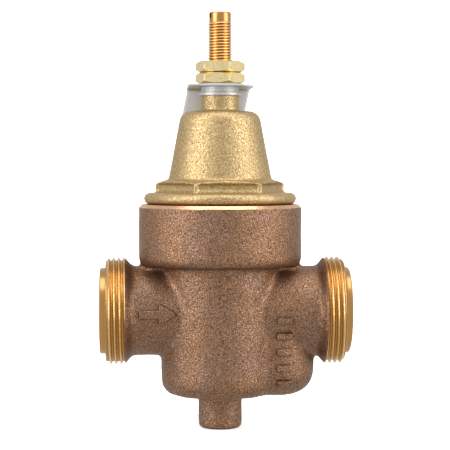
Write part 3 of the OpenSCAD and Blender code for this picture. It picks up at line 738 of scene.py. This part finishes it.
def six_sided(name, corner_r, bottom, top, facing, edge=0.0):
    """A hexagonal bar on the vertical axis. One of its flats faces an angle in degrees from +X."""
    bpy.ops.object.select_all(action="DESELECT")
    bpy.ops.mesh.primitive_cylinder_add(vertices=6, radius=corner_r * mm, depth=(top - bottom) * mm,
                                        location=(axis_x * mm, 0, (top + bottom) / 2 * mm))
    piece = bpy.context.object
    piece.name = name
    piece.rotation_euler.z = math.radians(facing)
    bpy.ops.object.transform_apply(location=True, rotation=True, scale=True)
    if edge:
        finish(piece, "BEVEL", width=edge * mm, segments=3)
    return piece


shoulder_arc = arc((cone_top_r - shoulder_r, bell_top - shoulder_r), shoulder_r, 8, 90, 10)
cone = turned("cone", [(0, rim_top - 1), (cone_base_r + 1, rim_top - 1), (cone_base_r, hex_top)]
              + shoulder_arc + [(0, bell_top)])
rim_arc = arc((rim_r - rim_t / 2, head_top + rim_t / 2), rim_t / 2, -90, 90, 12)
rim = turned("rim", [(0, head_top - 2), (rim_r - rim_t / 2, head_top - 2)] + rim_arc + [(0, rim_top)])
neck = turned("neck", [(0, bell_top - 2), (neck_r, bell_top - 2), (neck_r, neck_top + spare),
                       (0, neck_top + spare)])
hexagon = six_sided("hexagon", hex_corner, rim_top - 1, hex_top, hex_facing)
hex_blank = turned("hex_blank", [
    (0, rim_top - 2), (hex_corner - 0.4, rim_top - 2), (hex_corner - 0.4, hex_top - 1.8),
    (hex_flat - 2.2, hex_top), (0, hex_top)])
combine(hexagon, hex_blank, "INTERSECT")
for i in range(6):
    angle = math.radians(hex_facing + 60 * i)
    sink = block("sink", (axis_x + hex_flat - 1, -hex_flat * 0.53, rim_top + 0.7),
                 (axis_x + hex_flat + 6, hex_flat * 0.53, hex_top - 1.9))
    edit(sink)
    bpy.ops.mesh.select_all(action="SELECT")
    bpy.ops.transform.rotate(value=-angle, orient_axis="Z", center_override=(axis_x * mm, 0, 0))
    bpy.ops.object.mode_set(mode="OBJECT")
    combine(hexagon, sink)
bell = joined("bell_casting", [cone, rim, neck, hexagon])
skinned(bell, fineness=0.5, rounds=5)
finish(bell, "DISPLACE", texture=waves, texture_coords="LOCAL", strength=0.18 * mm, mid_level=0.5)
finish(bell, "DECIMATE", ratio=0.6)
print("bell skin:", len(bell.data.polygons), "faces")

# %% [markdown]
# ### Inside of the bell
#
# The bell is hollow for the spring, and its neck is bored for the screw. The two places where it meets
# other parts, the skirt in the body and the spigot on the neck, are turned truly round. They could be cut
# from the cast skin, but its points are spread evenly and miss sharp edges, so they are pieces of their own.

# %% Bell inside and machined faces
screw_bore_r = 5.55
neck_spigot_r = 7.4
bell_roof = bell_top - 5.2
spring_room = 14.8
skirt_bottom = lowest("bell_housing", "Z")
skirt_room = 24
hollow = turned("hollow", [
    (0, skirt_bottom - 3), (skirt_room, skirt_bottom - 3), (skirt_room, skirt_bottom + 9.8),
    (spring_room + 4.6, rim_top + 1.5), (spring_room, bell_roof - 2), (spring_room, bell_roof),
    (screw_bore_r, bell_roof), (screw_bore_r, neck_top + past), (0, neck_top + past)])
spigot_top = highest("bell_housing", "Z")
for tool in (block("neck_cut", (axis_x - 20, -20, neck_top), (axis_x + 20, 20, neck_top + past)),
             block("rim_cut", (axis_x - 60, -60, head_top - past), (axis_x + 60, 60, head_top))):
    combine(hollow, tool, "UNION")
machined(bell, hollow, skin=blasted_brass, cut_face=turned_brass)
skirt = turned("bell_skirt", [
    (23.9, skirt_bottom), (skirt_r - 0.6, skirt_bottom), (skirt_r - 0.1, skirt_bottom + 0.5),
    (skirt_r - 0.1, head_top), (skirt_room, head_top), (23.9, skirt_bottom)])
coated(skirt, turned_brass)
spigot = turned("bell_spigot", [
    (screw_bore_r, neck_top), (neck_spigot_r, neck_top), (neck_spigot_r, spigot_top - 0.3),
    (neck_spigot_r - 0.3, spigot_top), (screw_bore_r, spigot_top), (screw_bore_r, neck_top)], sides=64)
coated(spigot, turned_brass)
print("bell skirt and spigot made")

# %% [markdown]
# ## Collar, tag and washer
#
# A flanged collar sits on the neck. The tag is a blank aluminium plate clamped under the lock nuts: it lies
# flat, bends down behind the neck and hangs there, leaning to the inlet's side. Its section is traced along
# the bend, pulled out to its width and given its thickness. Sheet could also be modelled flat and bent by a
# modifier, but the traced section shows the bend's real radius and is simpler to read.

# %% Collar
collar_low = lowest("neck_collar", "Z")
collar_high = highest("neck_collar", "Z")
collar_bore = 7.45
collar = turned("neck_collar_ring", [
    (collar_bore, collar_low), (9.1, collar_low), (9.3, collar_low + 0.2), (9.3, collar_low + 1.3),
    (9.1, collar_low + 1.5), (8.4, collar_low + 1.6), (8.4, collar_high - 0.2), (8.2, collar_high),
    (collar_bore, collar_high), (collar_bore, collar_low)], sides=96)
coated(collar, satin_aluminium)
print("collar:", len(collar.data.polygons), "faces")

# %% Tag
tag_t = 0.8
tag_low = lowest("name_tag", "Z")
tag_seat = highest("neck_collar", "Z")
tag_front = lowest("name_tag", "Y")
tag_back = highest("name_tag", "Y") - tag_t / 2
bend_r = 2.4 - tag_t / 2
tag_half = 14.25
level = tag_seat + tag_t / 2
section = [(0, tag_front + i * (tag_back - bend_r - tag_front) / 10, level) for i in range(11)]
section += [(0, tag_back - bend_r + y, level - bend_r + z)
            for y, z in arc((0, 0), bend_r, 75, 0, 5)]
leaf_top = level - bend_r
section += [(0, tag_back, leaf_top + i * (tag_low - leaf_top) / 8) for i in range(1, 9)]
tag = trace("bent_tag", [(axis_x - tag_half, y, z) for x, y, z in section])
columns = 20
for i in range(columns):
    bpy.ops.mesh.extrude_region_move(TRANSFORM_OT_translate={"value": (2 * tag_half / columns * mm, 0, 0)})
tidy_mesh()
print("tag sheet:", len(tag.data.polygons), "faces")


def shift_points(piece, test, step):
    """Moves the points of a piece that pass a test of their place, in millimetres."""
    edit(piece)
    bpy.ops.mesh.select_mode(type="VERT")
    bpy.ops.mesh.select_all(action="DESELECT")
    bpy.ops.object.mode_set(mode="OBJECT")
    for vertex in piece.data.vertices:
        vertex.select = test(*(vertex.co / mm))
    bpy.ops.object.mode_set(mode="EDIT")
    bpy.ops.transform.translate(value=Vector(step) * mm)
    bpy.ops.object.mode_set(mode="OBJECT")


lean = 5
rows = 8
droop = 0.22
for i in range(rows):
    edge_z = leaf_top - (i + 0.5) * (leaf_top - tag_low) / rows
    shift_points(tag, lambda x, y, z: z < edge_z, (-lean / rows, 0, 0))
for i in range(3):
    edge_x = axis_x + 9.5 + 1.3 * i
    shift_points(tag, lambda x, y, z: x > edge_x and y < tag_back - bend_r, (0, 0, -droop))
finish(tag, "SOLIDIFY", thickness=tag_t * mm, offset=0)
hole_r = 5.7
screw_hole = turned("screw_hole", [(0, level - 5), (hole_r, level - 5), (hole_r, level + 5),
                                   (0, level + 5)], sides=64)
combine(tag, screw_hole)
finish(tag, "BEVEL", width=0.12 * mm, segments=2, limit_method="ANGLE")
coated(tag, mill_aluminium)
print("tag:", len(tag.data.polygons), "faces")

# %% Seal washer
washer_low = tag_seat + tag_t
washer_t = 0.5
washer_r = 8.9
washer = turned("seal_washer", [
    (screw_bore_r, washer_low), (washer_r - 0.1, washer_low), (washer_r, washer_low + 0.1),
    (washer_r, washer_low + washer_t - 0.1), (washer_r - 0.1, washer_low + washer_t),
    (screw_bore_r, washer_low + washer_t), (screw_bore_r, washer_low)], sides=96)
coated(washer, natural_nylon)
print("washer:", len(washer.data.polygons), "faces")

# %% [markdown]
# ## Adjusting screw and lock nuts
#
# The screw is turned brass, 7/16 inch with 20 threads to the inch, and it ends in a plain tip with a
# screwdriver slot. The nuts are sawn from hexagon bar and chamfered on both faces by a lathe tool, which
# leaves the curved edge where each cone meets a flat.

# %% Adjusting screw
foot_z = lowest("adjusting_screw", "Z")
screw_top = highest("adjusting_screw", "Z")
thread_bottom = foot_z + 3
thread_top = screw_top - 4.4
screw_pitch = 1.27
tip_r = 4.84
foot_r = 3
slot_half = 0.75
slot_depth = 2.6
slot_turn = 25
screw = wound_thread("adjusting_screw_thread", screw_minor_r, screw_r, screw_pitch,
                     thread_bottom, thread_top, "Z", 32)
rod = turned("rod", [(0, thread_bottom), (4.6, thread_bottom), (screw_r, thread_bottom + 0.9),
                     (screw_r, thread_top - 0.7), (4.8, thread_top), (0, thread_top)], sides=96)
combine(screw, rod, "INTERSECT")
tip_edge = arc((tip_r - 0.8, screw_top - 0.8), 0.8, 15, 90, 4)
screw_tip = turned("tip", [(0, thread_top - 0.5), (tip_r, thread_top - 0.5), (tip_r, screw_top - 0.8)]
                   + tip_edge + [(0, screw_top)], sides=96)
combine(screw, screw_tip, "UNION")
foot = turned("foot", [(0, foot_z), (foot_r - 0.4, foot_z), (foot_r, foot_z + 0.4),
                       (foot_r, thread_bottom + 0.5), (0, thread_bottom + 0.5)], sides=64)
combine(screw, foot, "UNION")
slot_cut = block("slot_cut", (axis_x - 7, -slot_half, screw_top - slot_depth),
                 (axis_x + 7, slot_half, screw_top + 2))
edit(slot_cut)
bpy.ops.mesh.select_all(action="SELECT")
bpy.ops.transform.rotate(value=-math.radians(slot_turn), orient_axis="Z", center_override=(axis_x * mm, 0, 0))
bpy.ops.object.mode_set(mode="OBJECT")
combine(screw, slot_cut)
coated(screw, threaded_brass)
print("screw:", len(screw.data.polygons), "faces")

# %% Lock nuts


def lock_nut(name, node):
    """A hexagon nut in the place of one CAD node, chamfered on both faces."""
    bottom, top = lowest(node, "Z"), highest(node, "Z")
    flat = 9.65
    corner = flat / math.cos(math.radians(30))
    chamfer = 1.15
    facing = 18.1
    nut = six_sided(name, corner, bottom, top, facing, edge=0.1)
    blank = turned("blank", [(0, bottom), (flat * 0.95, bottom), (corner + 0.1, bottom + chamfer),
                             (corner + 0.1, top - chamfer), (flat * 0.95, top), (0, top)])
    combine(nut, blank, "INTERSECT")
    hole = turned("hole", [
        (0, bottom - 1), (screw_bore_r + 0.85, bottom - 1), (screw_bore_r, bottom + 0.5),
        (screw_bore_r, top - 0.5), (screw_bore_r + 0.85, top + 1), (0, top + 1)], sides=64)
    combine(nut, hole)
    coated(nut, nut_brass, 25)
    return nut


lower_nut = lock_nut("lower_hex_nut", "lower_lock_nut")
upper_nut = lock_nut("upper_hex_nut", "upper_lock_nut")
print("nuts:", len(lower_nut.data.polygons), "faces each")

# %% [markdown]
# ## Spring, diaphragm and strainer
#
# These are inside and show only through the ports or when the valve is opened. The spring is a wire wound
# round the axis with its first and last turns closed up. The screw tool would give every turn one pitch, so
# its line is worked out point by point instead. The diaphragm is moulded rubber, and the strainer is a
# woven screen, made by turning a grid of squares into wires.

# %% Range spring
wire_r = 1.9
spring_r = 11.5
coils = 7.5
spring_low = lowest("range_spring", "Z") + wire_r
spring_high = highest("range_spring", "Z") - wire_r
closed = 2 * wire_r + 0.3
steps_per_turn = 20
open_pitch = (spring_high - spring_low - 2 * closed) / (coils - 2)
line = []
for i in range(round(coils * steps_per_turn) + 1):
    turn = i / steps_per_turn
    left = coils - turn
    if turn < 1:
        height = spring_low + turn * closed
    elif left < 1:
        height = spring_high - left * closed
    else:
        height = spring_low + closed + (turn - 1) * open_pitch
    angle = 2 * math.pi * turn
    line.append((axis_x + spring_r * math.cos(angle), spring_r * math.sin(angle), height))
spring = trace("range_spring_wire", line)
bpy.ops.object.mode_set(mode="OBJECT")
bpy.ops.object.convert(target="CURVE")
spring.data.bevel_depth = wire_r * mm
spring.data.bevel_resolution = 4
spring.data.use_fill_caps = True
bpy.ops.object.convert(target="MESH")
edit(spring)
tidy_mesh()
coated(spring, oiled_spring_steel, 50)
print("spring:", len(spring.data.polygons), "faces")

# %% Diaphragm
low = lowest("diaphragm", "Z")
high = highest("diaphragm", "Z")
rubber_t = 2
dish = high - low - rubber_t
bore_r = 4.1
flat_r = 12
centre_r = 17.7
rim_in = 23.2
rim_out = highest("diaphragm", "X") - axis_x
slope = [(centre_r + (rim_in - centre_r) * i / 8, low + dish * (0.5 - 0.5 * math.cos(math.pi * i / 8)))
         for i in range(9)]
under = [(bore_r, low), (flat_r, low)] + slope + [(rim_out, low + dish)]
over = [(r, z + rubber_t) for r, z in reversed(slope)] + [(flat_r, low + rubber_t), (bore_r, low + rubber_t)]
diaphragm = turned("rubber_diaphragm", under + [(rim_out, high)] + over + [(bore_r, low)])
coated(diaphragm, nitrile_rubber, 50)
print("diaphragm:", len(diaphragm.data.polygons), "faces")

# %% Strainer screen
screen_low = lowest("strainer_screen", "Z")
screen_high = highest("strainer_screen", "Z")
screen_r = highest("strainer_screen", "X") - axis_x - 0.25
screen_wire = 0.42
screen_rows = 28
screen_h = screen_high - screen_low
screen = turned("woven_strainer", [(screen_r, screen_low + screen_h * i / screen_rows)
                                   for i in range(screen_rows + 1)], sides=84)
finish(screen, "WIREFRAME", thickness=screen_wire * mm, use_boundary=True, use_replace=True)
coated(screen, stainless_steel, 50)
print("screen:", len(screen.data.polygons), "faces")

# %% [markdown]
# ## Putting the pieces on their bodies
#
# Each new piece stands for one CAD node and moves with that node's body. The spring can't follow one body,
# and the diaphragm's rim is clamped while its centre moves with the stem, but here the spring rides on the
# valve body and the diaphragm is left where it stands.

# %% Bodies, slots and stand-ins
for piece, body, nodes, slot in (
        (casting, "valve", ["valve_body"], "cast_bronze"),
        (inlet_end, "valve", ["valve_body"], "cast_bronze"),
        (outlet_end, "valve", ["valve_body"], "cast_bronze"),
        (bell, "valve", ["bell_housing"], "cast_brass"),
        (skirt, "valve", ["bell_housing"], "cast_brass"),
        (spigot, "valve", ["bell_housing"], "cast_brass"),
        (collar, "valve", ["neck_collar"], "collar_metal"),
        (tag, "valve", ["name_tag"], "tag_metal"),
        (washer, "nut_carrier", ["nut_seal_washer"], "seal_plastic"),
        (screw, "screw", ["adjusting_screw"], "machined_brass"),
        (lower_nut, "lock_nuts", ["lower_lock_nut"], "nut_brass"),
        (upper_nut, "lock_nuts", ["upper_lock_nut"], "nut_brass"),
        (screen, "valve", ["strainer_screen"], "stainless"),
        (spring, "valve", ["range_spring"], "spring_steel")):
    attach(piece, body)
    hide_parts(*nodes)
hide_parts("diaphragm")
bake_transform(diaphragm)
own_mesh(spring)

# %% Finishes of the CAD nodes that stay
inner_finishes = (
    (turned_brass, ["module_cage", "stem", "disc_holder"]),
    (stainless_steel, ["seat_ring", "lower_strainer_ring", "upper_strainer_ring", "disc_nut",
                       "diaphragm_washer"]),
    (zinc_plated_steel, ["diaphragm_plate", "diaphragm_nut", "friction_ring", "spring_button"]),
    (nitrile_rubber, ["seat_disc", "piston_o_ring", "upper_cage_o_ring", "lower_cage_o_ring"]))
for material, nodes in inner_finishes:
    for node in nodes:
        piece = frame["nodes"][node]
        piece.data.materials.clear()
        piece.data.materials.append(material)
print("CAD nodes with a finish:", sum(len(nodes) for material, nodes in inner_finishes))

# %% [markdown]
# ## Floor and light
#
# A product picture is taken on a white sheet that curves up behind the object, with a large soft light on
# each side. Round metal shows what is around it, so the soft lights make the long bright bands on its
# sides. The sheet glows a little so that it stays white, but metal that mirrored the glow came out too
# bright, so the sheet is kept out of reflections and the metal mirrors the even, less bright room.

# %% Floor
floor_z = boss_bottom
sheet_half = 5000
curve_y = 700
curve_r = 500
curve = [(curve_y + y, floor_z + curve_r + z) for y, z in arc((0, 0), curve_r, -90, 0, 10)]
sheet_side = [(-sheet_half, floor_z)] + curve + [(curve_y + curve_r, 1900)]
sheet = trace("paper_sheet", [(-sheet_half, y, z) for y, z in sheet_side])
bpy.ops.mesh.extrude_region_move(TRANSFORM_OT_translate={"value": (2 * sheet_half * mm, 0, 0)})
tidy_mesh()
white_paper, place = new_material("white_paper")
fibres = add(white_paper, "ShaderNodeTexNoise", {"Vector": place, "Scale": per(2)})
paper_bump = add(white_paper, "ShaderNodeBump", {"Strength": 0.05, "Distance": 0.05 * mm,
                                                 "Height": fibres.outputs[0]})
output(white_paper, add(white_paper, "ShaderNodeBsdfPrincipled", {
    "Base Color": linear("fafafa"), "Roughness": 0.9, "Normal": paper_bump.outputs[0],
    "Emission Color": linear("ffffff"), "Emission Strength": 0.5}))
coated(sheet, white_paper, 60)
sheet.visible_glossy = False
print("paper sheet:", len(sheet.data.polygons), "faces")

# %% Lights


def soft_box(name, place, target, width, height, power):
    """A large soft light that faces a target, in metres and watts."""
    data = bpy.data.lights.new(name, "AREA")
    data.shape = "RECTANGLE"
    data.size, data.size_y = width, height
    data.energy = power
    light = bpy.data.objects.new(name, data)
    light.location = place
    light.rotation_euler = (Vector(target) - Vector(place)).to_track_quat("-Z", "Y").to_euler()
    light.visible_camera = False
    bpy.context.scene.collection.objects.link(light)
    return light


middle = (axis_x * mm, 0, 0.03)
soft_box("left_soft_box", (-0.55, -0.35, 0.30), middle, 0.5, 0.9, 5)
soft_box("right_soft_box", (0.66, -0.30, 0.30), middle, 0.5, 0.9, 4.5)
soft_box("top_soft_box", (axis_x * mm, -0.1, 0.75), middle, 0.8, 0.5, 3)
world = bpy.data.worlds.new("studio")
world.use_nodes = True
world.node_tree.nodes["Background"].inputs["Color"].default_value = linear("ffffff")
world.node_tree.nodes["Background"].inputs["Strength"].default_value = 0.78
bpy.context.scene.world = world
bpy.context.scene.view_settings.view_transform = "Standard"
print("lights:", len(bpy.data.lights))
